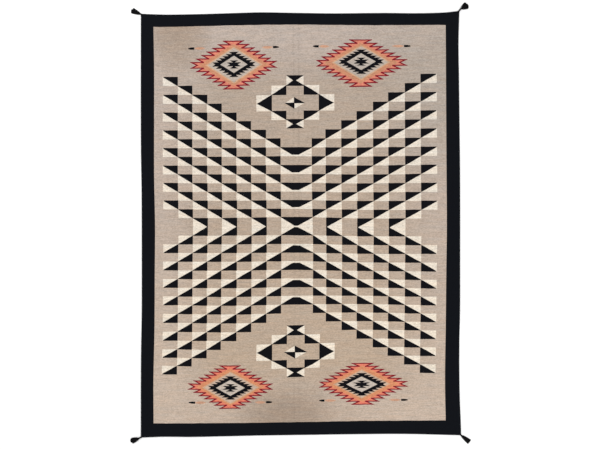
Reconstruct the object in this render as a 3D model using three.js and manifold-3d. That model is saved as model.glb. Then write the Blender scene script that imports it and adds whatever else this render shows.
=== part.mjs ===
// A flatwoven wool rug, laid flat: one woven sheet with a black border band, and at each corner a black
// yarn tassel made from the ends of the edge cords.
// Millimetres, +Z up. The origin is the middle of the rug on its underside; +Y runs along the length.
import * as THREE from 'three';
import { mergeVertices } from 'three/addons/utils/BufferGeometryUtils.js';
import Module from 'manifold-3d';

const wasm = await Module();
wasm.setup();

const RUG_WIDTH = 1836;
const RUG_LENGTH = 2438;
const RUG_THICKNESS = 4;
const EDGE_ROUNDING = 1.2;
const EDGE_STEPS = { width: 16, length: 20 };
const SEAT_GAP = 0.3;

// How far each edge stands out from the straight rectangle. along runs from left to right on the two
// ends, and from bottom to top on the two sides.
const EDGE_BOW = {
  top: [
    { along: -918, out: -7.6 },
    { along: -758, out: -9.8 },
    { along: -550, out: -6.3 },
    { along: -342, out: 0 },
    { along: -204, out: 2.5 },
    { along: 4, out: -0.3 },
    { along: 211, out: -3.4 },
    { along: 488, out: -0.2 },
    { along: 696, out: -1.8 },
    { along: 835, out: 2.3 },
    { along: 918, out: 10.3 },
  ],
  bottom: [
    { along: -918, out: 9.7 },
    { along: -619, out: 6.9 },
    { along: -412, out: 2.4 },
    { along: -204, out: -2.4 },
    { along: 73, out: -6 },
    { along: 350, out: -9.3 },
    { along: 627, out: -10.5 },
    { along: 918, out: -3.5 },
  ],
  left: [
    { along: -1219, out: 1.4 },
    { along: -760, out: 0.7 },
    { along: -483, out: -3.9 },
    { along: -33, out: -4 },
    { along: 210, out: -3.2 },
    { along: 429, out: 0.9 },
    { along: 764, out: 1.7 },
    { along: 1219, out: 0.9 },
  ],
  right: [
    { along: -1219, out: 8.4 },
    { along: -967, out: -0.2 },
    { along: -690, out: -2 },
    { along: -483, out: 2.5 },
    { along: -206, out: 3.1 },
    { along: 279, out: 2.5 },
    { along: 556, out: -0.5 },
    { along: 833, out: -3.3 },
    { along: 1041, out: -6.6 },
    { along: 1219, out: -4.3 },
  ],
};

// Each corner's tassel: which way it lies, its length from the corner, its cord's length before the
// binding, and the width of its skirt half way along and at the cut ends.
const CORNER_FLAT = 8;
const TASSELS = [
  { name: 'tassel_top_left', side: -1, end: 1, heading: 151, length: 63, cord: 3, mid: 28, tip: 33 },
  { name: 'tassel_top_right', side: 1, end: 1, heading: 42, length: 73, cord: 18, mid: 33, tip: 38 },
  { name: 'tassel_bottom_left', side: -1, end: -1, heading: 206, length: 66, cord: 7, mid: 33, tip: 35 },
  { name: 'tassel_bottom_right', side: 1, end: -1, heading: 320, length: 71, cord: 3, mid: 24, tip: 27 },
];
const CORD = { width: 6.4, height: 4.4, plies: 2, lay: 14, ridge: 0.12, step: 2 };
const BINDING = { turns: 3, pitch: 2, width: 8.4, height: 7, ridge: 0.35 };
const SHOULDER = { length: 8, width: 17, height: 7.8, fullness: 0.45 };
const CORE_SIDES = 16;
const STRAND_THICKNESS = 1.4;
const STRAND_GAP = 0.35;
const STRAND_STEPS = 4;
const STRAND_END_TAPER = 0.75;
const STRAND_ROOT_DEPTH = 3;
const SKIRT_LAYERS = [
  { strands: 9, spread: 1, reach: 0.96 },
  { strands: 8, spread: 0.98, reach: 1 },
  { strands: 9, spread: 0.88, reach: 0.97 },
  { strands: 8, spread: 0.8, reach: 0.92 },
];
const SKIRT_ROUNDING = 0.16;
const STRAND_UNEVENNESS = 1.3;

const WOOL = { color: 0xb8a392, roughness: 0.95, metalness: 0 };
const BLACK_YARN = { color: 0x141416, roughness: 0.9, metalness: 0 };

// Reads a bow table at a place, as a smooth curve through its rows.
function bowAt(rows, along) {
  let i = 0;
  while (i < rows.length - 2 && along > rows[i + 1].along) i += 1;
  const slope = (a, b) => (rows[b].out - rows[a].out) / (rows[b].along - rows[a].along);
  const span = rows[i + 1].along - rows[i].along;
  const startSlope = slope(Math.max(i - 1, 0), i + 1);
  const endSlope = slope(i, Math.min(i + 2, rows.length - 1));
  const t = (along - rows[i].along) / span;
  const ease = t * t * (3 - 2 * t);
  return rows[i].out * (1 - ease) + rows[i + 1].out * ease
    + span * (startSlope * t * (1 - t) ** 2 - endSlope * t * t * (1 - t));
}

// One corner of the rug, before its seat for the tassel is cut.
function cornerPoint(side, end) {
  const sideRows = side < 0 ? EDGE_BOW.left : EDGE_BOW.right;
  const endRows = end < 0 ? EDGE_BOW.bottom : EDGE_BOW.top;
  const x = side * (RUG_WIDTH / 2 + bowAt(sideRows, end * RUG_LENGTH / 2));
  const y = end * (RUG_LENGTH / 2 + bowAt(endRows, side * RUG_WIDTH / 2));
  return new THREE.Vector2(x, y);
}

// The way a tassel lies, and the middle of the small flat that it leaves the corner from.
function tasselSeat(tassel) {
  const angle = THREE.MathUtils.degToRad(tassel.heading);
  const direction = new THREE.Vector2(Math.cos(angle), Math.sin(angle));
  const corner = cornerPoint(tassel.side, tassel.end);
  const onEnd = new THREE.Vector2(corner.x - tassel.side * CORNER_FLAT * Math.abs(direction.y), corner.y);
  const onSide = new THREE.Vector2(corner.x, corner.y - tassel.end * CORNER_FLAT * Math.abs(direction.x));
  const middle = onEnd.clone().add(onSide).multiplyScalar(0.5);
  return { angle, direction, onEnd, onSide, middle };
}

// Points along one end, between the seats at its two corners, left to right.
function endPoints(end) {
  const rows = end < 0 ? EDGE_BOW.bottom : EDGE_BOW.top;
  const left = cornerPoint(-1, end).x;
  const right = cornerPoint(1, end).x;
  const points = [];
  for (let i = 1; i < EDGE_STEPS.width; i += 1) {
    const share = i / EDGE_STEPS.width;
    const along = (share - 0.5) * RUG_WIDTH;
    points.push(new THREE.Vector2(left + (right - left) * share, end * (RUG_LENGTH / 2 + bowAt(rows, along))));
  }
  return points;
}

// Points along one side, between the seats at its two corners, bottom to top.
function sidePoints(side) {
  const rows = side < 0 ? EDGE_BOW.left : EDGE_BOW.right;
  const bottom = cornerPoint(side, -1).y;
  const top = cornerPoint(side, 1).y;
  const points = [];
  for (let i = 1; i < EDGE_STEPS.length; i += 1) {
    const share = i / EDGE_STEPS.length;
    const along = (share - 0.5) * RUG_LENGTH;
    points.push(new THREE.Vector2(side * (RUG_WIDTH / 2 + bowAt(rows, along)), bottom + (top - bottom) * share));
  }
  return points;
}

// The woven sheet: one flat solid with the rug's uneven outline and softly rounded edges.
function buildRug() {
  const seat = Object.fromEntries(TASSELS.map((tassel) => [tassel.name, tasselSeat(tassel)]));
  const outline = [
    seat.tassel_bottom_left.onEnd,
    ...endPoints(-1),
    seat.tassel_bottom_right.onEnd,
    seat.tassel_bottom_right.onSide,
    ...sidePoints(1),
    seat.tassel_top_right.onSide,
    seat.tassel_top_right.onEnd,
    ...endPoints(1).reverse(),
    seat.tassel_top_left.onEnd,
    seat.tassel_top_left.onSide,
    ...sidePoints(-1).reverse(),
    seat.tassel_bottom_left.onSide,
  ];
  const geometry = new THREE.ExtrudeGeometry(new THREE.Shape(outline), {
    depth: RUG_THICKNESS - 2 * EDGE_ROUNDING,
    bevelEnabled: true,
    bevelSize: EDGE_ROUNDING,
    bevelThickness: EDGE_ROUNDING,
    bevelOffset: -EDGE_ROUNDING,
    bevelSegments: 1,
  });
  geometry.translate(0, 0, EDGE_ROUNDING);
  const mesh = new THREE.Mesh(geometry, new THREE.MeshStandardMaterial(WOOL));
  mesh.name = 'rug';
  return mesh;
}

// A closed tube through rings that each have the same number of points.
function tubeThrough(rings) {
  const sides = rings[0].length;
  const corners = rings.flat();
  const first = corners.length;
  const middleOf = (ring) => ring.reduce((sum, p) => sum.add(p), new THREE.Vector3()).divideScalar(sides);
  corners.push(middleOf(rings[0]), middleOf(rings[rings.length - 1]));
  const faces = [];
  for (let s = 0; s < sides; s += 1) {
    const next = (s + 1) % sides;
    faces.push(first, next, s);
    faces.push(first + 1, first - sides + s, first - sides + next);
    for (let r = 0; r + 1 < rings.length; r += 1) {
      const a = r * sides;
      const b = a + sides;
      faces.push(a + s, a + next, b + next, a + s, b + next, b + s);
    }
  }
  return new wasm.Manifold(new wasm.Mesh({
    numProp: 3,
    vertProperties: new Float32Array(corners.flatMap((p) => [p.x, p.y, p.z])),
    triVerts: new Uint32Array(faces),
  }));
}

// A ring across the tassel at x, resting on the floor. It is oval at a fullness of 1 and nearer a
// rounded rectangle at 0.5. furrow(turn) draws it in round its rim.
function crossRing(x, width, height, fullness, furrow) {
  const ring = [];
  for (let s = 0; s < CORE_SIDES; s += 1) {
    const turn = (s / CORE_SIDES) * 2 * Math.PI;
    const out = 1 - furrow(turn);
    const across = Math.sign(Math.cos(turn)) * Math.abs(Math.cos(turn)) ** fullness;
    const up = Math.sign(Math.sin(turn)) * Math.abs(Math.sin(turn)) ** fullness;
    ring.push(new THREE.Vector3(x, (width / 2) * out * across, (height / 2) * (1 + out * up)));
  }
  return ring;
}

// The twisted cord from the corner, the yarn binding round it, and the shoulder the skirt grows from.
function tasselCore(tassel) {
  const rings = [];
  const cordSteps = Math.max(2, Math.round(tassel.cord / CORD.step));
  for (let i = 0; i <= cordSteps; i += 1) {
    const x = (tassel.cord * i) / cordSteps;
    const height = i === 0 ? RUG_THICKNESS : CORD.height;
    rings.push(crossRing(x, CORD.width, height, 1, (turn) => (
      CORD.ridge * (1 - Math.cos(CORD.plies * (turn - (2 * Math.PI * x) / CORD.lay)))
    )));
  }
  const bindingRings = 2 * BINDING.turns;
  for (let i = 0; i <= bindingRings; i += 1) {
    const x = tassel.cord + 0.8 + (BINDING.pitch * i) / 2;
    const valley = i % 2 === 0 ? BINDING.ridge : 0;
    rings.push(crossRing(x, BINDING.width - 2 * valley, BINDING.height - 2 * valley, 1, () => 0));
  }
  const bindingEnd = tassel.cord + 0.8 + BINDING.turns * BINDING.pitch;
  for (const share of [0.35, 0.75, 1]) {
    const ease = Math.sin((share * Math.PI) / 2);
    rings.push(crossRing(
      bindingEnd + SHOULDER.length * share,
      BINDING.width + (SHOULDER.width - BINDING.width) * ease,
      BINDING.height + (SHOULDER.height - BINDING.height) * ease,
      1 + (SHOULDER.fullness - 1) * ease,
      () => 0,
    ));
  }
  return { solid: tubeThrough(rings), end: bindingEnd + SHOULDER.length };
}

// The skirt's half width at a share of the way from the shoulder to the cut ends.
function skirtHalfWidth(tassel, share) {
  const root = SHOULDER.width / 2 - STRAND_THICKNESS;
  const middle = tassel.mid / 2 - STRAND_THICKNESS / 2;
  const tip = tassel.tip / 2 - STRAND_THICKNESS / 2;
  return root * (1 - share) * (1 - 2 * share) + 4 * middle * share * (1 - share) + tip * share * (2 * share - 1);
}

// One four-sided strand of the skirt, lying level. place runs from -1 to 1 across the skirt.
function skirtStrand(tassel, coreEnd, place, reach, level, spread) {
  const start = coreEnd - STRAND_ROOT_DEPTH;
  const rings = [];
  for (let i = 0; i <= STRAND_STEPS; i += 1) {
    const share = i / STRAND_STEPS;
    const x = start + (reach - start) * share;
    const skirtShare = Math.max(0, (x - coreEnd) / (tassel.length - coreEnd));
    const widening = 1 + (spread - 1) * skirtShare;
    const y = place * widening * skirtHalfWidth(tassel, skirtShare);
    const half = (STRAND_THICKNESS / 2) * (i === STRAND_STEPS ? STRAND_END_TAPER : 1);
    rings.push([
      new THREE.Vector3(x, y - half, level),
      new THREE.Vector3(x, y + half, level),
      new THREE.Vector3(x, y + half, level + 2 * half),
      new THREE.Vector3(x, y - half, level + 2 * half),
    ]);
  }
  return tubeThrough(rings);
}

// The whole tassel lies along +X, then is turned and set against its corner.
function buildTassel(tassel, index) {
  const core = tasselCore(tassel);
  const strands = [];
  SKIRT_LAYERS.forEach((layer, row) => {
    for (let i = 0; i < layer.strands; i += 1) {
      const place = (2 * i) / (layer.strands - 1) - 1;
      const uneven = STRAND_UNEVENNESS * Math.sin(2.4 * i + 1.7 * row + index);
      const reach = tassel.length * layer.reach * (1 - SKIRT_ROUNDING * place * place) + uneven;
      const level = row * (STRAND_THICKNESS + STRAND_GAP);
      strands.push(skirtStrand(tassel, core.end, place, reach, level, layer.spread));
    }
  });
  const joined = strands.reduce((solid, strand) => solid.add(strand), core.solid).getMesh();
  const geometry = new THREE.BufferGeometry();
  geometry.setAttribute('position', new THREE.BufferAttribute(joined.vertProperties, 3));
  geometry.setIndex(new THREE.BufferAttribute(joined.triVerts, 1));
  const mesh = new THREE.Mesh(mergeVertices(geometry), new THREE.MeshStandardMaterial(BLACK_YARN));
  mesh.name = tassel.name;
  const seat = tasselSeat(tassel);
  mesh.position.set(seat.middle.x + SEAT_GAP * seat.direction.x, seat.middle.y + SEAT_GAP * seat.direction.y, 0);
  mesh.rotation.z = seat.angle;
  return mesh;
}

const flatweaveRug = new THREE.Group();
flatweaveRug.add(buildRug(), ...TASSELS.map(buildTassel));

export default flatweaveRug;
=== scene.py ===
"""A flatwoven wool rug, laid flat and seen from above, with a black yarn tassel at each corner."""
import math
import random

import bpy
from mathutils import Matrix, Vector


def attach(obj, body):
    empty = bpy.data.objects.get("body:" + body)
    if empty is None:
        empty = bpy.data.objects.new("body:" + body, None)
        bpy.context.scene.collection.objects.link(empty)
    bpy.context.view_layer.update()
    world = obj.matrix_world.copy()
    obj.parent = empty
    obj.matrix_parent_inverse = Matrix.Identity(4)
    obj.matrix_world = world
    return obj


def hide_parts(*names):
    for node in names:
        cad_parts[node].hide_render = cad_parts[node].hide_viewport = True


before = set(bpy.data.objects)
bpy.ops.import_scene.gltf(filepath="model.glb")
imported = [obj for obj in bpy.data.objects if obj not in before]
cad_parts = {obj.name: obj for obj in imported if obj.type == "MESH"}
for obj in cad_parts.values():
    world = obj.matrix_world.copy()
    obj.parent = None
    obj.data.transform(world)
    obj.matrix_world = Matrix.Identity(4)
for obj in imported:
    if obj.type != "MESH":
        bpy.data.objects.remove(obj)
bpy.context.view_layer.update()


# The rug is one sheet of weft-faced wool cloth: the weft covers the warp, so every colour goes right
# through and both faces show the same figures. It was woven by hand, so its edges wander and the weft
# rises and falls a little across its width. Its four edges are thick rounded selvedges.
MM = 0.001
RUG_HALF_WIDTH = 918
RUG_HALF_LENGTH = 1219
FIELD_HALF_WIDTH = 843
FIELD_HALF_LENGTH = 1148
CLOTH_THICKNESS = 4.0
SELVEDGE_THICKNESS = 5.4
CORNER_RADIUS = 8.0
CLOTH_STEP = 19.0

# How far each edge stands out from a straight rectangle: place along the edge, distance out.
EDGE_BOW = {
    "top": ((-918, -4.4), (-860, -6.6), (-758, -9.2), (-550, -6.1), (-342, 0.1), (-204, 3.8), (4, 0.7),
            (211, -2.2), (488, 0.2), (696, -1.1), (835, 3.1), (918, 12.3)),
    "bottom": ((-918, 11.3), (-780, 6.5), (-619, 7.6), (-412, 3.6), (-204, -1.2), (73, -4.9),
               (350, -8.6), (627, -9.8), (918, -2.4)),
    "left": ((-1219, 1.8), (-760, 1), (-483, -3.3), (-33, -3.4), (210, -2.4), (429, 1.3), (764, 2.2),
             (1219, 1.8)),
    "right": ((-1219, 9.6), (-967, 0.6), (-690, -1), (-483, 3.1), (-206, 3.3), (279, 3.2), (556, 0.3),
              (833, -3.2), (1041, -5.9), (1219, -1.6)),
}

# Where the border meets the field on the left and right, and the middle warp between them:
# place along the rug, then the three places across.
FIELD_LINES = (
    (-1148, -848, -25, 840),
    (-900, -849, -25, 836),
    (-600, -843, -24, 840),
    (-250, -841, -22, 843.5),
    (0, -839.5, -22, 846.5),
    (300, -845, -25, 845),
    (600, -845, -26, 843),
    (900, -845, -26, 841.5),
    (1148, -849, -26, 840),
)

# How far the warps lie to the right of their even places: place across the rug, then the distance
# in its top half and in its bottom half.
WARP_DRIFT = (
    (-843, 0, 0), (-790, 0, -2.5), (-614, -0.5, -3), (-526, -0.7, -4.7), (-439, -1.7, -8.5),
    (-351, -2.8, -5.8), (-263, -3.8, -4.8), (-88, -4.5, -4), (0, -5, -2), (88, 2.5, 7),
    (175, -8.5, -7.5), (263, -8.9, -7), (351, -9.3, -9.3), (439, -6.5, -6.5), (526, -8.5, -9),
    (614, -4, -5), (702, -2.3, -1.3), (790, -0.5, -2.5), (843, 0, 0),
)
HALVES_MEET = 150

# How far the weft lies above its even place, at five warps: place along the rug, then the five.
DRIFT_WARP_STEP = 370
WEFT_DRIFT = (
    (-1148, -0.6, 2.1, 6.8, 14, 16.6),
    (-860, -4.5, -12, -4, 5, 3.5),
    (-700, -12.5, -15.5, -8, -0.5, -1.5),
    (-500, -10.5, -13.7, -6.2, -2, -9.5),
    (-250, -12, -13.5, -9, -15.5, -18),
    (0, -15, -14, -12, -17.5, -18),
    (50, -15, -14, -8.5, -16.8, -17.4),
    (110, -15, -14.8, -11.5, -17.4, -16.8),
    (250, -15, -16.6, -13.2, -17.4, -14),
    (500, -16.5, -14.3, -10.5, -11.5, -6),
    (700, -13, -13, -6, -3.4, 1),
    (860, -10.5, -7.5, -1.5, 3, 7.7),
    (1148, -8.9, -0.5, 4.1, 1.3, 2.4),
)


def curve_through(rows, column, at):
    """Read one column of a table at a place, as a smooth curve through its rows."""
    at = min(max(at, rows[0][0]), rows[-1][0])
    i = 0
    while i < len(rows) - 2 and at > rows[i + 1][0]:
        i += 1

    def slope(a, b):
        return (rows[b][column] - rows[a][column]) / (rows[b][0] - rows[a][0])

    span = rows[i + 1][0] - rows[i][0]
    start_slope = slope(max(i - 1, 0), i + 1)
    end_slope = slope(i, min(i + 2, len(rows) - 1))
    t = (at - rows[i][0]) / span
    ease = t * t * (3 - 2 * t)
    level = rows[i][column] * (1 - ease) + rows[i + 1][column] * ease
    return level + span * (start_slope * t * (1 - t) ** 2 - end_slope * t * t * (1 - t))


def straight_through(rows, column, at):
    """Read one column of a table at a place, straight from row to row."""
    for before, after in zip(rows, rows[1:]):
        if at <= after[0]:
            share = max(0.0, (at - before[0]) / (after[0] - before[0]))
            return before[column] + (after[column] - before[column]) * share
    return rows[-1][column]


def warp_drift(u, v):
    """How far a warp lies to the right of its even place."""
    top_share = min(max((v / HALVES_MEET + 1) / 2, 0.0), 1.0)
    top, bottom = (straight_through(WARP_DRIFT, column, u) for column in (1, 2))
    return bottom + (top - bottom) * top_share


def weft_drift(u, v):
    """How far the weft lies above its even place, at a warp u and a weft v."""
    columns = [curve_through(WEFT_DRIFT, column, v) for column in range(1, 6)]
    rows = [((i - 2) * DRIFT_WARP_STEP, height) for i, height in enumerate(columns)]
    return curve_through(rows, 1, u)


def on_floor(u, v):
    """Turn a place on the even loom into its place on the floor, both in millimetres."""
    left, middle, right = (curve_through(FIELD_LINES, column, v) for column in (1, 2, 3))
    outer_left = -(RUG_HALF_WIDTH + curve_through(EDGE_BOW["left"], 1, v))
    outer_right = RUG_HALF_WIDTH + curve_through(EDGE_BOW["right"], 1, v)
    side_band = RUG_HALF_WIDTH - FIELD_HALF_WIDTH
    if u < -FIELD_HALF_WIDTH:
        x = left + (outer_left - left) * (-u - FIELD_HALF_WIDTH) / side_band
    elif u > FIELD_HALF_WIDTH:
        x = right + (outer_right - right) * (u - FIELD_HALF_WIDTH) / side_band
    else:
        side = left if u < 0 else right
        x = middle + (side - middle) * abs(u) / FIELD_HALF_WIDTH + warp_drift(u, v)
    end_band = RUG_HALF_LENGTH - FIELD_HALF_LENGTH
    if abs(v) > FIELD_HALF_LENGTH:
        end = 1 if v > 0 else -1
        bow = EDGE_BOW["top" if v > 0 else "bottom"]
        inner = end * FIELD_HALF_LENGTH + weft_drift(u, end * FIELD_HALF_LENGTH)
        outer = end * (RUG_HALF_LENGTH + curve_through(bow, 1, u))
        y = inner + (outer - inner) * (abs(v) - FIELD_HALF_LENGTH) / end_band
    else:
        y = v + weft_drift(u, v)
    return x, y


# From the edge inwards: where the cloth's lines run, and the share of the full thickness there.
SELVEDGE_PROFILE = ((0, 0.34), (0.5, 0.62), (1.2, 0.84), (2.2, 0.97), (3.4, 1.0), (4.6, 0.96),
                    (5.8, 0.86), (7.2, 0.77), (9.5, 0.74))


def cloth_lines(half, field_half):
    """Where the cloth's lines run one way: close together at the selvedges, and on the field's rim."""
    edge = [place for place, _ in SELVEDGE_PROFILE]
    inside = half - edge[-1]
    band_steps = round((inside - field_half) / CLOTH_STEP)
    band = [inside - (inside - field_half) * i / band_steps for i in range(1, band_steps)]
    field_steps = round(2 * field_half / CLOTH_STEP)
    field = [-field_half + 2 * field_half * i / field_steps for i in range(field_steps + 1)]
    outer = [half - d for d in edge] + band
    return [-place for place in outer] + field + outer[::-1]


def thickness_share(edge_distance):
    """The share of the full thickness so far in from the edge."""
    return straight_through(SELVEDGE_PROFILE, 1, edge_distance)


def round_corner(u, v):
    """Draw the last few millimetres of a corner in to a round one."""
    a = (abs(u) - (RUG_HALF_WIDTH - CORNER_RADIUS)) / CORNER_RADIUS
    b = (abs(v) - (RUG_HALF_LENGTH - CORNER_RADIUS)) / CORNER_RADIUS
    if a <= 0 or b <= 0:
        return u, v
    across = a * math.sqrt(1 - b * b / 2)
    along = b * math.sqrt(1 - a * a / 2)
    return (math.copysign(RUG_HALF_WIDTH - CORNER_RADIUS + CORNER_RADIUS * across, u),
            math.copysign(RUG_HALF_LENGTH - CORNER_RADIUS + CORNER_RADIUS * along, v))


# The low waves in which the cloth lies: their height, how far each kind runs to a radian across and
# along, and the share of the height that the slanting and the short ones have.
WAVE_HEIGHT = 0.55
BROAD_RUN = (231, 287)
BROAD_START = (1.3, -0.4)
SLANT_RUN = (412, 350)
SLANT_SHARE = 0.6
SHORT_RUN = (301, 143)
SHORT_SHARE = 0.5


def lie_of_cloth(x, y):
    """How far the cloth's underside stands off the floor: low, broad waves, touching in places."""
    broad = math.sin(x / BROAD_RUN[0] + BROAD_START[0]) * math.sin(y / BROAD_RUN[1] + BROAD_START[1])
    slant = math.sin(x / SLANT_RUN[0] - y / SLANT_RUN[1])
    short = math.sin(y / SHORT_RUN[1] + x / SHORT_RUN[0])
    return max(0.0, WAVE_HEIGHT * (broad + SLANT_SHARE * slant + SHORT_SHARE * short))


across_lines = cloth_lines(RUG_HALF_WIDTH, FIELD_HALF_WIDTH)
along_lines = cloth_lines(RUG_HALF_LENGTH, FIELD_HALF_LENGTH)

bpy.ops.object.select_all(action="DESELECT")
bpy.ops.mesh.primitive_grid_add(
    x_subdivisions=len(across_lines) - 1,
    y_subdivisions=len(along_lines) - 1,
    size=2,
    calc_uvs=True,
)
rug = bpy.context.active_object
rug.name = "rug_cloth"
cloth = rug.data
cloth.uv_layers[0].name = "Loom"
thickness_group = rug.vertex_groups.new(name="thickness")
loom_places = []
for corner in cloth.vertices:
    column = round((corner.co.x + 1) / 2 * (len(across_lines) - 1))
    row = round((corner.co.y + 1) / 2 * (len(along_lines) - 1))
    u, v = across_lines[column], along_lines[row]
    loom_places.append((u, v))
    edge_distance = min(RUG_HALF_WIDTH - abs(u), RUG_HALF_LENGTH - abs(v))
    share = thickness_share(edge_distance)
    thickness_group.add([corner.index], share, "REPLACE")
    x, y = on_floor(*round_corner(u, v))
    z = lie_of_cloth(x, y) + SELVEDGE_THICKNESS * share / 2
    corner.co = Vector((x, y, z)) * MM
for loop in cloth.loops:
    u, v = loom_places[loop.vertex_index]
    cloth.uv_layers["Loom"].data[loop.index].uv = (u * MM, v * MM)

thicken = rug.modifiers.new("thickness", "SOLIDIFY")
thicken.thickness = SELVEDGE_THICKNESS * MM
thicken.offset = 0
thicken.vertex_group = "thickness"
thicken.use_rim = True
bpy.ops.object.modifier_apply(modifier=thicken.name)
bpy.ops.object.shade_smooth()

# A second layout of the cloth on a square, for one picture of its colours: the upper face takes
# most of it, and the underside the strip beside it.
# UNDERSIDE_TILT go with the underside.
UPPER_SHARE = 0.755
LAYOUT_MARGIN = 0.004
UNDERSIDE_TILT = -0.2
square_layout = cloth.uv_layers.new(name="OFBake")
for face in cloth.polygons:
    left, right = (0.0, UPPER_SHARE) if face.normal.z > UNDERSIDE_TILT else (UPPER_SHARE, 1.0)
    for index in face.loop_indices:
        loom_place = cloth.uv_layers["Loom"].data[index].uv
        across = loom_place.x / (2 * RUG_HALF_WIDTH * MM) + 0.5
        along = loom_place.y / (2 * RUG_HALF_LENGTH * MM) + 0.5
        square_layout.data[index].uv = (
            left + LAYOUT_MARGIN + across * (right - left - 2 * LAYOUT_MARGIN),
            LAYOUT_MARGIN + along * (1 - 2 * LAYOUT_MARGIN),
        )
cloth.uv_layers["Loom"].active_render = True
cloth.uv_layers.active = cloth.uv_layers["Loom"]


class Thread:
    """One value in a dye recipe. Arithmetic on it adds the Math nodes that work it out."""

    def __init__(self, pot, socket):
        self.pot = pot
        self.socket = socket

    def worked(self, operation, *others):
        return self.pot.add("ShaderNodeMath", {"operation": operation}, dict(enumerate((self, *others))))

    def __add__(self, other):
        return self.worked("ADD", other)

    __radd__ = __add__

    def __sub__(self, other):
        return self.worked("SUBTRACT", other)

    def __rsub__(self, other):
        return (self * -1.0) + other

    def __mul__(self, other):
        return self.worked("MULTIPLY", other)

    __rmul__ = __mul__

    def __truediv__(self, other):
        return self.worked("DIVIDE", other)

    def __rtruediv__(self, other):
        return self.pot.add("ShaderNodeMath", {"operation": "DIVIDE"}, {0: other, 1: self})

    def __abs__(self):
        return self.worked("ABSOLUTE")

    def floor(self):
        return self.worked("FLOOR")

    def fract(self):
        return self.worked("FRACT")

    def above(self, other):
        return self.worked("GREATER_THAN", other)

    def below(self, other):
        return self.worked("LESS_THAN", other)

    def most(self, other):
        return self.worked("MAXIMUM", other)

    def least(self, other):
        return self.worked("MINIMUM", other)


class Dyepot:
    """A material in the making."""

    def __init__(self, name):
        self.material = bpy.data.materials.new(name)
        self.material.use_nodes = True
        self.tree = self.material.node_tree
        self.tree.nodes.clear()

    def add(self, kind, settings=None, sockets=None, output=0):
        """Add a node: its settings come first, then the values or links of its sockets."""
        node = self.tree.nodes.new(kind)
        for name, value in (settings or {}).items():
            setattr(node, name, value)
        for name, value in (sockets or {}).items():
            if isinstance(value, Thread):
                self.tree.links.new(value.socket, node.inputs[name])
            else:
                node.inputs[name].default_value = value
        return Thread(self, node.outputs[output] if len(node.outputs) else None)

    def cloud(self, x, y, seed, detail=2.0):
        """Soft random value round 0, mostly within 1 of it, over x and y."""
        place = self.add("ShaderNodeCombineXYZ", {}, {0: x, 1: y, 2: seed})
        value = self.add("ShaderNodeTexNoise", {"noise_dimensions": "3D"},
                         {"Vector": place, "Scale": 1.0, "Detail": detail, "Roughness": 0.6})
        return (value - 0.5) * 4.0

    def over(self, base, mask, colour):
        """Lay a colour over another where a mask is 1."""
        return self.add("ShaderNodeMix", {"data_type": "RGBA", "blend_type": "MIX"},
                        {0: mask, 6: base, 7: colour}, output=2)

    def tinted(self, colour, amount):
        """Make a colour lighter or darker by a share of itself."""
        return self.add("ShaderNodeVectorMath", {"operation": "SCALE"},
                        {0: colour, "Scale": amount + 1.0})


def either(*masks):
    """The highest of several values, such as the masks of parts that make one figure."""
    whole = masks[0]
    for mask in masks[1:]:
        whole = whole.most(mask)
    return whole


# How bright the studio light makes a white sheet. A dye is the wool's look in that light over this.
LIGHT_LEVEL = 1.15


def dye(red, green, blue):
    """The wool's own colour from the look it has in the studio light."""
    def linear(value):
        value /= 255
        return value / 12.92 if value <= 0.04045 else ((value + 0.055) / 1.055) ** 2.4
    return tuple(linear(value) / LIGHT_LEVEL for value in (red, green, blue)) + (1.0,)


# The dyes, as they look in the studio light. TOP and BOTTOM are for the rug's two ends.
FIELD_TOP = dye(189, 174, 163)
FIELD_BOTTOM = dye(194, 175, 158)
MIDDLE_TOP = dye(178, 162, 148)
MIDDLE_BOTTOM = dye(192, 170, 148)
FIELD_BROWN = dye(169, 150, 133)
FIELD_PALE = dye(201, 182, 165)
FIELD_DUSK = dye(180, 167, 155)
BLACK = dye(17, 17, 21)
BORDER_BLACK = dye(16, 18, 23)
CREAM_TOP = dye(228, 217, 203)
CREAM_BOTTOM = dye(242, 229, 210)
RED = dye(131, 27, 43)
CORAL_TOP = dye(222, 134, 112)
CORAL_BOTTOM = dye(229, 129, 106)
ORANGE_TOP = dye(206, 143, 111)
ORANGE_BOTTOM = dye(219, 145, 106)
SAND = dye(208, 168, 136)
PALE_RING_TOP = dye(192, 177, 164)
PALE_RING_BOTTOM = dye(204, 179, 160)
PALE_MIDDLE_TOP = dye(191, 179, 168)
PALE_MIDDLE_BOTTOM = dye(202, 188, 175)
PEACH = dye(204, 157, 130)

# Places on the loom come from the cloth's own layout, in millimetres.
pot = Dyepot("woven_wool")
loom_map = pot.add("ShaderNodeUVMap", {"uv_map": "Loom"})
loom_u = pot.add("ShaderNodeSeparateXYZ", {}, {0: loom_map}, output=0) * 1000.0
loom_v = pot.add("ShaderNodeSeparateXYZ", {}, {0: loom_map}, output=1) * 1000.0

# The weave: each rib is a warp covered with humps of weft, and the next rib's humps lie half way
# between. Its grooves are painted darker as shade; at the weave's mean height the wool keeps its colour.
WARP_PITCH = 3.2
HUMP_PITCH = 1.9
RIB_HEIGHT = 0.6
HUMP_HEIGHT = 0.4
WEAVE_MEAN = 0.667
# How much painted shade darkens the wool in the grooves.
PAINTED_GROOVE_SHADE = 0.38
rib = loom_u / WARP_PITCH
rib_odd = (rib.floor() * 0.5).fract()
hump = loom_v / HUMP_PITCH + rib_odd
rib_rise = rib.fract() * 2.0 - 1.0
hump_rise = hump.fract() * 2.0 - 1.0
weave_height = (1.0 - rib_rise * rib_rise) * RIB_HEIGHT + (1.0 - hump_rise * hump_rise) * HUMP_HEIGHT

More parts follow.
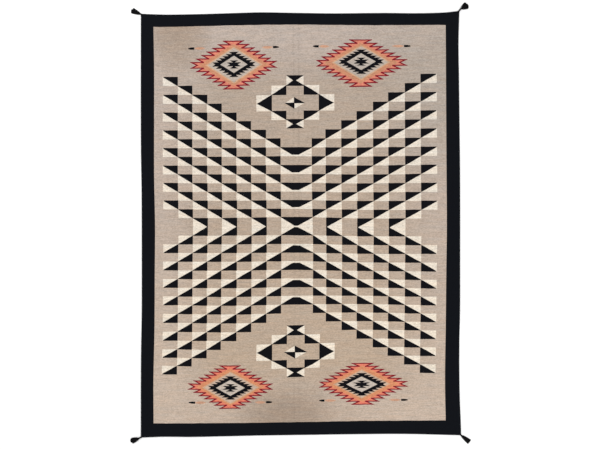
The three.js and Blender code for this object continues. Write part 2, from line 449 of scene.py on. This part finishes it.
# The selvedges are wrapped by two cords that twist round each other along the edge.
TWIST_PITCH = 9.0
TWIST_HEIGHT = 1.6
SELVEDGE_WIDTH = 7.5
edge_nearness = either(abs(loom_u) - (RUG_HALF_WIDTH - SELVEDGE_WIDTH),
                       abs(loom_v) - (RUG_HALF_LENGTH - SELVEDGE_WIDTH))
twist = ((loom_u + loom_v) / TWIST_PITCH).fract() * 2.0 - 1.0
on_selvedge = edge_nearness.above(0)
weave_height = weave_height * (1.0 - on_selvedge) + (1.0 - twist * twist) * TWIST_HEIGHT * on_selvedge

# The rug has been kept folded down its middle, and two faint grooves still show there, deeper
# towards the top end. They are bumped into the cloth and also painted darker as shade.
FOLD_ACROSS = (-9.0, 19.0)
FOLD_HALF_WIDTH = 8.0
FOLD_DEPTH_MIDDLE = 0.2
FOLD_DEPTH_CHANGE = 0.07
fold = either(*[(1.0 - abs(loom_u - across) / FOLD_HALF_WIDTH).most(0.0) for across in FOLD_ACROSS])
fold_depth = loom_v / RUG_HALF_LENGTH * FOLD_DEPTH_CHANGE + FOLD_DEPTH_MIDDLE
weave_height = weave_height - fold * fold_depth

# The figures are set out on the loom's own places, u across and v along. A colour changes only from
# one warp to the next, and the weft that carries it wanders a little up and down.
BEAT_RUN = (70.0, 40.0)
BEAT_WANDER = 1.1
beat = pot.cloud(loom_u / BEAT_RUN[0], loom_v / BEAT_RUN[1], seed=3.1) * BEAT_WANDER
u = (rib.floor() + 0.5) * WARP_PITCH
v = loom_v + beat

# The plain field: its colour drifts from end to end, and it has soft oval patches that are browner,
# paler and duskier. Each patch is its place, its half sizes and its strength.
BROWN_PATCHES = ((-55, -1105, 310, 195, 1.0), (-700, 1130, 220, 310, 0.82))
PALE_PATCHES = ((-760, -900, 420, 760, 0.95), (760, -980, 460, 560, 0.6))
DUSK_PATCHES = ((720, 720, 640, 520, 1.0),)


def patches(places):
    """The patches' strength in their middles, 0 from their rims outwards."""
    whole = 0.0
    for across, along, half_across, half_along, strength in places:
        x = (loom_u - across) / half_across
        y = (loom_v - along) / half_along
        whole = whole + (1.0 - x * x - y * y).most(0.0) * strength
    return whole.least(1.0)


along_share = (v / (2 * FIELD_HALF_LENGTH) + 0.5).most(0.0).least(1.0)
wool = pot.over(FIELD_BOTTOM, along_share, FIELD_TOP)
wool = pot.over(wool, patches(BROWN_PATCHES), FIELD_BROWN)
wool = pot.over(wool, patches(PALE_PATCHES), FIELD_PALE)
wool = pot.over(wool, patches(DUSK_PATCHES), FIELD_DUSK)

# The browner wool round the middle gives way to the field's own towards the sides and the ends.
SIDE_FADE_START = 440
SIDE_FADE_WIDTH = 350
END_FADE_START = 790
END_FADE_WIDTH = 220
middle = pot.over(MIDDLE_BOTTOM, along_share, MIDDLE_TOP)
side_fade = ((abs(u) - SIDE_FADE_START) / SIDE_FADE_WIDTH).most(0.0).least(1.0)
end_fade = ((abs(v) - END_FADE_START) / END_FADE_WIDTH).most(0.0).least(1.0)
wool = pot.over(wool, (1.0 - side_fade) * (1.0 - end_fade), middle)

# The lattice: columns and rows of cells, each cut in two from corner to corner, black towards the
# rug's end and cream towards its middle. It narrows to an X by steps of one cell.
COLUMN = 87.75
ROW = 50.6
COLUMNS = 9
ROWS = 17
SIDE_NOTCH = 7

# Black weft is beaten in fuller than the rest, so it spreads this far over its cells' edges.
BLACK_SPREAD = 1.2
DIAGONAL_SPREAD = 0.07

# In the middle column the black starts this share of a row into its cell: in the row next to the
# rug's middle, and in the others.
FIRST_ROW_START = 0.05
OTHER_ROWS_START = 0.15


def lattice(across, along):
    """The lattice's two-coloured cells, at so many columns across and rows along."""
    column = across.floor()
    row = along.floor()
    even_cell = ((column + row) * 0.5).fract().below(0.25)
    within = (column.below(COLUMNS - 0.5) * row.below(ROWS - 0.5) * (row - column).below(COLUMNS - 0.5)
              * (column - row).below(SIDE_NOTCH - 0.5))
    return even_cell * within


cell = lattice(abs(u) / COLUMN, abs(v) / ROW)
black_across = (abs(u) + BLACK_SPREAD) / COLUMN
black_along = (abs(v) - BLACK_SPREAD).most(0.0) / ROW
black_cell = lattice(black_across, black_along)
half_black = (black_along.fract() - black_across.fract()).above(-DIAGONAL_SPREAD)
black_start = black_along.above(1) * (OTHER_ROWS_START - FIRST_ROW_START) + FIRST_ROW_START
past_start = either(black_across.above(1), black_along.fract().above(black_start))
lattice_black = black_cell * half_black * past_start
cream = pot.over(CREAM_BOTTOM, along_share, CREAM_TOP)
wool = pot.over(wool, cell, cream)
wool = pot.over(wool, lattice_black, BLACK)

# Two stepped diamonds on the middle warp: bow, shoulder and flank cells round a quartered kernel. The
# weft is beaten a little closer in some rows, so their steps differ in height, upwards and downwards.
# A bow's black narrows to a waist and reaches a little past its foot. The middles, the steps' heights
# and the kernel's half sizes are given for the top diamond and then for the bottom one.
STEPPED_MIDDLES = (706.5, -729.5)
STEPPED_RIGHT = -3.3
STEP_WIDTHS = (48.5, 136.5, 227.5)
STEPS_UP = ((47, 99.5, 154), (49, 101, 153))
STEPS_DOWN = ((44.5, 95, 142), (46.5, 95, 147))
BOW_WAIST = 9.5
BOW_FOOT = 4
EDGE_SPREAD = 1.02
FLANK_TIP_GAP = 4.5
KERNEL_RIGHT = -1.5
KERNEL_CROSS = (2.5, 2.0)
KERNEL_HALF = ((56, 32.5), (63, 37))


def at_end(top_value, bottom_value):
    """A value that is one thing at the rug's top end and another at its bottom end."""
    return v.above(0) * (top_value - bottom_value) + bottom_value


rise = v - at_end(*STEPPED_MIDDLES)
x = abs(u - STEPPED_RIGHT)
y = abs(rise)
steps = [
    rise.above(0) * (at_end(*up) - at_end(*down)) + at_end(*down)
    for up, down in zip(zip(*STEPS_UP), zip(*STEPS_DOWN))
]


def block(left, right, low, high):
    """The cells that lie between two warps and two wefts of a stepped diamond."""
    return x.above(left) * x.below(right) * y.above(low) * y.below(high)


bow = block(-1, STEP_WIDTHS[0], steps[1], steps[2])
bow_slope = (STEP_WIDTHS[0] - BOW_WAIST) / (steps[2] - steps[1]) * 2.0
bow_black = (block(-1, STEP_WIDTHS[0], steps[1] - BOW_FOOT, steps[2] + BLACK_SPREAD)
             * x.below(abs(y - (steps[1] + steps[2]) * 0.5) * bow_slope + BOW_WAIST))
shoulder = block(STEP_WIDTHS[0], STEP_WIDTHS[1], steps[0], steps[1])
shoulder_black = (block(STEP_WIDTHS[0] - BLACK_SPREAD, STEP_WIDTHS[1], steps[0] - BLACK_SPREAD, steps[1])
                  * ((x - STEP_WIDTHS[0]) / (STEP_WIDTHS[1] - STEP_WIDTHS[0])
                     + (y - steps[0]) / (steps[1] - steps[0])).below(EDGE_SPREAD))
flank = block(STEP_WIDTHS[1], STEP_WIDTHS[2], -1, steps[0])
flank_black = (block(STEP_WIDTHS[1] - BLACK_SPREAD, STEP_WIDTHS[2], -1, steps[0])
               * ((x - STEP_WIDTHS[1]) / (STEP_WIDTHS[2] - STEP_WIDTHS[1] - FLANK_TIP_GAP)
                  + y / steps[0]).below(EDGE_SPREAD))
kernel_u = u - (STEPPED_RIGHT + KERNEL_RIGHT)
kernel_half = [at_end(top, bottom) for top, bottom in zip(*KERNEL_HALF)]
kernel = (abs(kernel_u) / kernel_half[0] + y / kernel_half[1]).below(1)
stepped = either(bow, shoulder, flank, kernel)
kernel_black = either(
    kernel_u.above(-KERNEL_CROSS[0]) * rise.above(-KERNEL_CROSS[1]),
    kernel_u.below(KERNEL_CROSS[0]) * rise.below(KERNEL_CROSS[1]),
)
stepped_black = either(bow_black, shoulder_black, flank_black, kernel * kernel_black)
wool = pot.over(wool, stepped, cream)
wool = pot.over(wool, stepped_black, BLACK)

# Four serrated diamonds: rows of hooked teeth outlined in red, coral within, then orange, and a
# pale middle with a smaller toothed ring and a star. Each was woven a little differently: the four
# values are for the top left, top right, bottom left and bottom right one. The pale middle sits off
# the diamond's own by MIDDLE_RIGHT and MIDDLE_RISE.
SERRATED_ACROSS = (-367, 371.5, -383.5, 383)
SERRATED_ALONG = (925.5, 928.5, -931, -927)
SERRATED_WIDENING = (1.01, 1.0, 0.98, 0.985)
SERRATED_FLATTENING = (0.994, 0.988, 0.948, 0.905)
MIDDLE_RIGHT = (2, 3, 3, -4)
MIDDLE_RISE = (3, 7, -4, -3)
MIDDLE_WIDENING = (1.01, 0.99, 1.04, 1.085)
MIDDLE_FLATTENING = (0.99, 0.985, 0.98, 0.94)
PALE_RISE = (0, 3, -4, -1)
PALE_SHARE = (1.02, 1.0, 0.98, 0.9)
TEETH = {"rows": 7, "height": 19.7, "reach": 257.5, "step": 32.1, "hook": 39.0, "blunt": 0.14}
RING_TEETH = {"rows": 6, "height": 11.9, "reach": 129.0, "step": 20.0, "hook": 17.0}
STAR_TEETH = {"rows": 2, "height": 11.6, "reach": 44.0, "step": 18.0, "hook": 21.0}
ORANGE_HALF = (210, 120)
SAND_HALF = (167, 103)
PALE_RING_HALF = (153, 95)
PALE_MIDDLE_HALF = (81, 49)
LINE_ACROSS = 16.0
LINE_HEIGHT = 6.6


def at_corner(top_left, top_right, bottom_left, bottom_right):
    """A value that differs between the four corners of the rug."""
    right = u.above(0)
    top_value = right * (top_right - top_left) + top_left
    bottom_value = right * (bottom_right - bottom_left) + bottom_left
    return v.above(0) * (top_value - bottom_value) + bottom_value


def toothed(x, y, rows, height, reach, step, hook, blunt=0.0):
    """A diamond whose sides are rows of hooked teeth. Gives its mask, row, rise in it and side."""
    row = (y / height).floor()
    rise = (y / height).fract()
    side = reach - row * step - (1.0 - blunt - rise).most(0.0) * hook
    return x.below(side) * row.below(rows - 0.5), row, rise, side


def rhombus(x, y, half_across, half_along):
    """A plain diamond of these half sizes."""
    return (x / half_across + y / half_along).below(1)


def dye_at_end(top_dye, bottom_dye):
    """A dye that is one colour at the rug's top end and another at its bottom end."""
    return pot.over(bottom_dye, v.above(0), top_dye)


across_diamond = u - at_corner(*SERRATED_ACROSS)
along_diamond = v - at_corner(*SERRATED_ALONG)
x = abs(across_diamond) / at_corner(*SERRATED_WIDENING)
y = abs(along_diamond) / at_corner(*SERRATED_FLATTENING)
diamond, tooth_row, tooth_rise, side = toothed(x, y, **TEETH)
next_side = (TEETH["reach"] - TEETH["hook"] * (1.0 - TEETH["blunt"])
             - (tooth_row + 1.0) * TEETH["step"])
line_top = tooth_rise.above(1 - LINE_HEIGHT / TEETH["height"])
red_line = either(
    x.above(side - LINE_ACROSS),
    line_top * x.above(next_side - LINE_ACROSS),
    line_top * tooth_row.above(TEETH["rows"] - 1.5),
)
middle_x = abs(across_diamond - at_corner(*MIDDLE_RIGHT)) / at_corner(*MIDDLE_WIDENING)
middle_y = abs(along_diamond - at_corner(*MIDDLE_RISE)) / at_corner(*MIDDLE_FLATTENING)
ring = toothed(middle_x, middle_y, **RING_TEETH)[0]
star = toothed(middle_x, middle_y, **STAR_TEETH)[0]
pale_share = at_corner(*PALE_SHARE)
pale_x = middle_x / pale_share
pale_y = abs(along_diamond - at_corner(*PALE_RISE)) / at_corner(*MIDDLE_FLATTENING) / pale_share
for mask, colour in (
    (diamond, dye_at_end(CORAL_TOP, CORAL_BOTTOM)),
    (diamond * rhombus(x, y, *ORANGE_HALF), dye_at_end(ORANGE_TOP, ORANGE_BOTTOM)),
    (diamond * red_line, RED),
    (rhombus(pale_x, pale_y, *SAND_HALF), SAND),
    (rhombus(pale_x, pale_y, *PALE_RING_HALF), dye_at_end(PALE_RING_TOP, PALE_RING_BOTTOM)),
    (ring, BLACK),
    (rhombus(middle_x, middle_y, *PALE_MIDDLE_HALF), dye_at_end(PALE_MIDDLE_TOP, PALE_MIDDLE_BOTTOM)),
    (star, BLACK),
):
    wool = pot.over(wool, mask, colour)

# A peach bar and a black dash on each side of a serrated diamond, towards the rug's end. A dash
# tapers away from the diamond, a bar at both its ends.
DASH_ACROSS = (253, 258, 228, 233.5)
DASH_RISE = (96.5, 96.5, -94, -96)
DASH_HALF = (18, 6.6)
DASH_TAPER = 0.2
BAR_INSIDE = 51
BAR_HALF = (31, 7.2)
BAR_TAPER_START = 12.0
BAR_TAPER = 0.3
dash_x = abs(across_diamond) - at_corner(*DASH_ACROSS)
dash_y = abs(along_diamond - at_corner(*DASH_RISE))
dash = abs(dash_x).below(DASH_HALF[0]) * (dash_y + dash_x.most(0.0) * DASH_TAPER).below(DASH_HALF[1])
bar_x = abs(dash_x + BAR_INSIDE)
bar_taper = (bar_x - BAR_TAPER_START).most(0.0) * BAR_TAPER
bar = bar_x.below(BAR_HALF[0]) * (dash_y + bar_taper).below(BAR_HALF[1])
wool = pot.over(wool, bar, PEACH)
wool = pot.over(wool, dash, BLACK)

# The border is plain black on all four sides.
border = either(abs(u).above(FIELD_HALF_WIDTH), abs(v).above(FIELD_HALF_LENGTH))
wool = pot.over(wool, border, BORDER_BLACK)

# The yarn: it is spun from mixed fleece, so its shade changes in streaks along a pick of weft and in
# flecks, it is warmer here and cooler there, and broad bands differ a little from one batch to the
# next. The large black parts show less of this heather.
PICK = 3.4
PICK_JUMP = 7.31
STREAK_RUN = 56.0
STREAK_SHADE = 0.15
FLECK_RUN = (9.0, 4.6)
FLECK_SHADE = 0.25
FLECK_HEIGHT = 0.08
BATCH_RUN = (900.0, 210.0)
BATCH_SHADE = 0.03
WARMTH_RUN = (110.0, 14.0)
WARMTH = 0.035
BLACK_HEATHER = 0.3
BUMP_DEPTH = 0.0007
streaks = pot.cloud(loom_u / STREAK_RUN, (loom_v / PICK).floor() * PICK_JUMP, seed=1.7)
flecks = pot.cloud(loom_u / FLECK_RUN[0], loom_v / FLECK_RUN[1], seed=5.3, detail=3.0)
batches = pot.cloud(loom_u / BATCH_RUN[0], loom_v / BATCH_RUN[1], seed=9.4)
warmth = pot.cloud(loom_u / WARMTH_RUN[0], loom_v / WARMTH_RUN[1], seed=4.6) * WARMTH
plain = 1.0 - either(border, lattice_black, stepped_black)
heather = streaks * STREAK_SHADE + flecks * FLECK_SHADE + batches * BATCH_SHADE
heather = heather * (plain * (1.0 - BLACK_HEATHER) + BLACK_HEATHER)
# The heather is the yarn's own; the darkening in the grooves of the weave, the selvedge cords and the
# fold is painted shade.
wool = pot.tinted(wool, heather + (weave_height - WEAVE_MEAN) * PAINTED_GROOVE_SHADE)
warmer = pot.add("ShaderNodeCombineXYZ", {}, {0: warmth + 1.0, 1: 1.0, 2: 1.0 - warmth})
wool = pot.add("ShaderNodeVectorMath", {"operation": "MULTIPLY"}, {0: wool, 1: warmer})

wool_bump = pot.add("ShaderNodeBump", {}, {
    "Strength": 1.0,
    "Distance": BUMP_DEPTH,
    "Height": weave_height + flecks * FLECK_HEIGHT,
})
wool_shader = pot.add("ShaderNodeBsdfPrincipled", {}, {
    "Base Color": wool,
    "Roughness": 0.92,
    "Specular IOR Level": 0.04,
    "Sheen Weight": 0.02,
    "Sheen Roughness": 0.5,
    "Normal": wool_bump,
})
pot.add("ShaderNodeOutputMaterial", {}, {"Surface": wool_shader})
rug.data.materials.clear()
rug.data.materials.append(pot.material)

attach(rug, "root")
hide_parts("rug")


# Each corner tassel is the end of the edge cords: a short twisted cord, bound with a few turns of
# yarn, that opens into a flat skirt of cut yarns lying on the floor. The cord leaves the corner one
# way and the skirt may lie another, and no two skirts are combed or cut alike.
CORNER_FLAT = 8
SEAT_GAP = 0.3

# Headings are degrees, turning left from the rug's right. Cord and skirt are lengths, tip is the
# skirt's width at its cut end, swell says how it widens, rounding how far its corners are cut back,
# and notch where across it, from -1 to 1, the cut dips, and how far.
TASSELS = (
    {"name": "tassel_top_left", "side": -1, "end": 1, "cord_heading": 148, "heading": 157, "cord": 4,
     "skirt": 60, "tip": 36, "swell": 0.55, "rounding": 0.14, "notch": (-0.5, 4)},
    {"name": "tassel_top_right", "side": 1, "end": 1, "cord_heading": 51, "heading": 30, "cord": 19,
     "skirt": 50, "tip": 47, "swell": 0.5, "rounding": 0.22, "notch": (0.45, 3)},
    {"name": "tassel_bottom_left", "side": -1, "end": -1, "cord_heading": 212, "heading": 200, "cord": 14,
     "skirt": 54, "tip": 38, "swell": 0.5, "rounding": 0.2, "notch": (0.6, 2)},
    {"name": "tassel_bottom_right", "side": 1, "end": -1, "cord_heading": 312, "heading": 322, "cord": 5,
     "skirt": 63, "tip": 30, "swell": 0.5, "rounding": 0.03, "notch": (0, 1)},
)

# The cord: it starts inside the corner, and its two plies turn round each other. From TURN_HALF
# before its end to TURN_HALF past it, it bends to the skirt's heading.
CORD_START = -9
TURN_HALF = 5.0
PLY_RADIUS = 2.6
PLY_OFFSET = (2.5, 1.3)
PLY_TURN = 19
POINTS_PER_TURN = 14
FEWEST_POINTS = 12
CORD_LEVEL = 3.95

# The binding round the neck.
BINDING_TURNS = 3
BINDING_PITCH = 2.0
BINDING_OFFSET = (4.5, 2.6)
BINDING_RADIUS = 0.95
BINDING_LAP = 0.4
BINDING_PHASE = 0.7
NECK_LEVEL = 3.5
NECK_HALF = 3.8
NECK_HEIGHT = 4.4

# The skirt: its yarns come down to the floor just past the binding. It thins towards its cut end and
# its sides, and each layer is cut a little shorter than the one below it.
SKIRT_HEIGHT = 7.0
SETTLING = 2.5
TIP_THINNING = 0.42
SIDE_THINNING = 0.35
YARN_RADIUS = 0.72
YARNS_ACROSS = 16
YARN_LAYERS = 6
YARN_STEPS = 11
YARN_TUCK = 3
LAYER_SETBACK = 0.5
NOTCH_HALF = 0.16
CUT_UNEVENNESS = (-2.4, 1.4)
WOBBLE_ACROSS = 0.9
WOBBLE_UP = 0.25
yarn_random = random.Random(7)


def tassel_seat(tassel):
    """Where a tassel starts on the rug's corner."""
    heading = math.radians(tassel["cord_heading"])
    direction = Vector((math.cos(heading), math.sin(heading)))
    side, end = tassel["side"], tassel["end"]
    side_bow = EDGE_BOW["left" if side < 0 else "right"]
    end_bow = EDGE_BOW["bottom" if end < 0 else "top"]
    corner = Vector((side * (RUG_HALF_WIDTH + curve_through(side_bow, 1, end * RUG_HALF_LENGTH)),
                     end * (RUG_HALF_LENGTH + curve_through(end_bow, 1, side * RUG_HALF_WIDTH))))
    on_end = corner - Vector((side * CORNER_FLAT * abs(direction.y), 0))
    on_side = corner - Vector((0, end * CORNER_FLAT * abs(direction.x)))
    return (on_end + on_side) / 2 + SEAT_GAP * direction


def along_tassel(tassel, distance, sideways):
    """The place on the floor so far along a tassel from the rug's corner and so far to its left."""
    bend = tassel["heading"] - tassel["cord_heading"]
    heading = math.radians(tassel["cord_heading"])
    place = tassel_seat(tassel) + CORD_START * Vector((math.cos(heading), math.sin(heading)))
    at = CORD_START
    while at < distance:
        step = min(1.0, distance - at)
        turned = (at + step / 2 - tassel["cord"] + TURN_HALF) / (2 * TURN_HALF)
        heading = math.radians(tassel["cord_heading"] + bend * min(max(turned, 0.0), 1.0))
        place = place + step * Vector((math.cos(heading), math.sin(heading)))
        at += step
    return place + sideways * Vector((-math.sin(heading), math.cos(heading)))


def one_yarn(tassel, points, radius):
    """A round yarn along points, each (along, sideways, up) on a tassel, as a curve object."""
    yarn = yarn_pattern.copy()
    yarn.data = yarn_pattern.data.copy()
    bpy.context.collection.objects.link(yarn)
    yarn.data.splines.clear()
    spline = yarn.data.splines.new("POLY")
    spline.points.add(len(points) - 1)
    for point, (along, sideways, up) in zip(spline.points, points):
        place = along_tassel(tassel, along, sideways)
        point.co = (place.x * MM, place.y * MM, up * MM, 1)
    yarn.data.bevel_depth = radius * MM
    return yarn


def skirt_yarn(tassel, place, layer):
    """One yarn of the skirt, from inside the binding to its cut end. Its place is -1 to 1 across."""
    binding_end = tassel["cord"] + BINDING_TURNS * BINDING_PITCH
    notch_place, notch_depth = tassel["notch"]
    notch = notch_depth * math.exp(-((place - notch_place) / NOTCH_HALF) ** 2)
    uneven = yarn_random.uniform(*CUT_UNEVENNESS)
    full = tassel["cord"] + tassel["skirt"]
    rounding = tassel["skirt"] * tassel["rounding"] * place * place
    reach = full - rounding - notch + uneven - LAYER_SETBACK * layer
    level = layer / (YARN_LAYERS - 1)
    neck_z = NECK_LEVEL + (level - 0.5) * NECK_HEIGHT
    wobble = yarn_random.uniform(-1, 1) * WOBBLE_ACROSS
    phase = yarn_random.uniform(0, 6.28)
    points = []
    for i in range(YARN_STEPS + 1):
        share = i / YARN_STEPS
        x = binding_end - YARN_TUCK + (reach - binding_end + YARN_TUCK) * share
        open_share = max(0.0, (x - binding_end) / (full - binding_end))
        half = NECK_HALF + (tassel["tip"] / 2 - YARN_RADIUS - NECK_HALF) * open_share ** tassel["swell"]
        y = place * half + wobble * math.sin(3 * share + phase) * min(1.0, 3 * open_share)
        settled = min(1.0, SETTLING * open_share)
        settled = settled * settled * (3 - 2 * settled)
        thinning = (1 - TIP_THINNING * open_share) * (1 - SIDE_THINNING * place * place)
        skirt_z = YARN_RADIUS + level * (SKIRT_HEIGHT - 2 * YARN_RADIUS) * thinning
        z = neck_z + (skirt_z - neck_z) * settled
        z += WOBBLE_UP * math.sin(5 * share + 2 * phase) * settled
        points.append((x, y, max(YARN_RADIUS, z)))
    return one_yarn(tassel, points, YARN_RADIUS)


def helix(start, end, radius_across, radius_up, turns, phase, level):
    """Points of a spiral along a tassel."""
    steps = max(FEWEST_POINTS, round(turns * POINTS_PER_TURN))
    points = []
    for i in range(steps + 1):
        share = i / steps
        angle = phase + 2 * math.pi * turns * share
        points.append((start + (end - start) * share, radius_across * math.cos(angle),
                       level + radius_up * math.sin(angle)))
    return points


bpy.ops.object.select_all(action="DESELECT")
bpy.ops.curve.primitive_nurbs_path_add()
yarn_pattern = bpy.context.active_object
yarn_pattern.data.bevel_resolution = 1
yarn_pattern.data.use_fill_caps = True
yarn_pattern.data.resolution_u = 1

YARN_DARK = dye(5, 5, 7)
YARN_LIGHT = dye(20, 19, 21)
FLUFF_RUN = 1.1
yarn_pot = Dyepot("black_yarn")
yarn_place = yarn_pot.add("ShaderNodeTexCoord", {}, {}, output=3)
yarn_x = yarn_pot.add("ShaderNodeSeparateXYZ", {}, {0: yarn_place}, output=0) * 1000.0
yarn_y = yarn_pot.add("ShaderNodeSeparateXYZ", {}, {0: yarn_place}, output=1) * 1000.0
yarn_fluff = yarn_pot.cloud(yarn_x / FLUFF_RUN, yarn_y / FLUFF_RUN, seed=2.2, detail=3.0)
yarn_shade = yarn_pot.over(YARN_DARK, yarn_fluff * 0.5 + 0.5, YARN_LIGHT)
yarn_bump = yarn_pot.add("ShaderNodeBump", {}, {
    "Strength": 0.6,
    "Distance": 0.0004,
    "Height": yarn_fluff,
})
yarn_shader = yarn_pot.add("ShaderNodeBsdfPrincipled", {}, {
    "Base Color": yarn_shade,
    "Roughness": 0.9,
    "Specular IOR Level": 0.08,
    "Sheen Weight": 0.02,
    "Normal": yarn_bump,
})
yarn_pot.add("ShaderNodeOutputMaterial", {}, {"Surface": yarn_shader})

for tassel in TASSELS:
    binding_start = tassel["cord"]
    binding_end = binding_start + BINDING_TURNS * BINDING_PITCH
    yarns = []
    for ply in range(2):
        turns = (binding_end - CORD_START) / PLY_TURN
        ply_points = helix(CORD_START, binding_end, *PLY_OFFSET, turns, ply * math.pi, CORD_LEVEL)
        yarns.append(one_yarn(tassel, ply_points, PLY_RADIUS))
    binding_points = helix(binding_start, binding_end + BINDING_LAP, *BINDING_OFFSET,
                           BINDING_TURNS + BINDING_LAP, BINDING_PHASE, NECK_LEVEL)
    yarns.append(one_yarn(tassel, binding_points, BINDING_RADIUS))
    for layer in range(YARN_LAYERS):
        for i in range(YARNS_ACROSS):
            place = 2 * (i + 0.5 * (layer % 2)) / (YARNS_ACROSS - 0.5) - 1
            yarns.append(skirt_yarn(tassel, place, layer))
    bpy.ops.object.select_all(action="DESELECT")
    for yarn in yarns:
        yarn.select_set(True)
    bpy.context.view_layer.objects.active = yarns[0]
    bpy.ops.object.convert(target="MESH")
    bpy.ops.object.join()
    piece = bpy.context.active_object
    piece.name = tassel["name"] + "_yarn"
    bpy.ops.object.shade_smooth()
    piece.data.materials.clear()
    piece.data.materials.append(yarn_pot.material)
    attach(piece, "root")
    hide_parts(tassel["name"])
bpy.data.objects.remove(yarn_pattern)


# The studio: a plain white floor, an even white surround and two large soft lamps above. The floor
# lies a little under the rug, so that the two don't share a surface.
FLOOR_HALF = 8
FLOOR_DROP = 0.0006
SURROUND_STRENGTH = 0.85
LAMP_SIZE = 2.6
LAMPS = (("lamp_left", (-2.6, 2.2, 3.6), 75.0), ("lamp_right", (2.8, -1.4, 3.8), 60.0))

bpy.ops.object.select_all(action="DESELECT")
bpy.ops.mesh.primitive_plane_add(size=2 * FLOOR_HALF, location=(0, 0, -FLOOR_DROP))
floor = bpy.context.active_object
floor.name = "floor"
floor_pot = Dyepot("white_floor")
floor_shader = floor_pot.add("ShaderNodeBsdfPrincipled", {}, {
    "Base Color": (0.94, 0.94, 0.94, 1.0),
    "Roughness": 0.9,
    "Specular IOR Level": 0.2,
})
floor_pot.add("ShaderNodeOutputMaterial", {}, {"Surface": floor_shader})
floor.data.materials.append(floor_pot.material)

world = bpy.data.worlds.new("studio")
bpy.context.scene.world = world
world.use_nodes = True
world.node_tree.nodes["Background"].inputs["Color"].default_value = (1.0, 1.0, 1.0, 1.0)
world.node_tree.nodes["Background"].inputs["Strength"].default_value = SURROUND_STRENGTH

for name, place, power in LAMPS:
    bpy.ops.object.light_add(type="AREA", location=place)
    lamp = bpy.context.active_object
    lamp.name = name
    lamp.data.shape = "SQUARE"
    lamp.data.size = LAMP_SIZE
    lamp.data.energy = power
    lamp.rotation_euler = (-Vector(place)).to_track_quat("-Z", "Y").to_euler()

# The camera hangs straight above the rug. One pixel of the photograph is 5.77 mm on the rug.
PIXEL = 5.77
PHOTO = (600, 450)
RUG_MIDDLE_PIXEL = (300.35, 224.35)
LENS = 55.0
SENSOR = 36.0

view_width = PHOTO[0] * PIXEL * MM
camera_height = view_width * LENS / SENSOR + CLOTH_THICKNESS * MM
bpy.ops.object.camera_add(location=(
    (PHOTO[0] / 2 - RUG_MIDDLE_PIXEL[0]) * PIXEL * MM,
    (RUG_MIDDLE_PIXEL[1] - PHOTO[1] / 2) * PIXEL * MM,
    camera_height,
), rotation=(0, 0, 0))
camera = bpy.context.active_object
camera.data.lens = LENS
camera.data.sensor_width = SENSOR
bpy.context.scene.camera = camera
bpy.context.scene.view_settings.view_transform = "Standard"
bpy.context.scene.view_settings.look = "None"
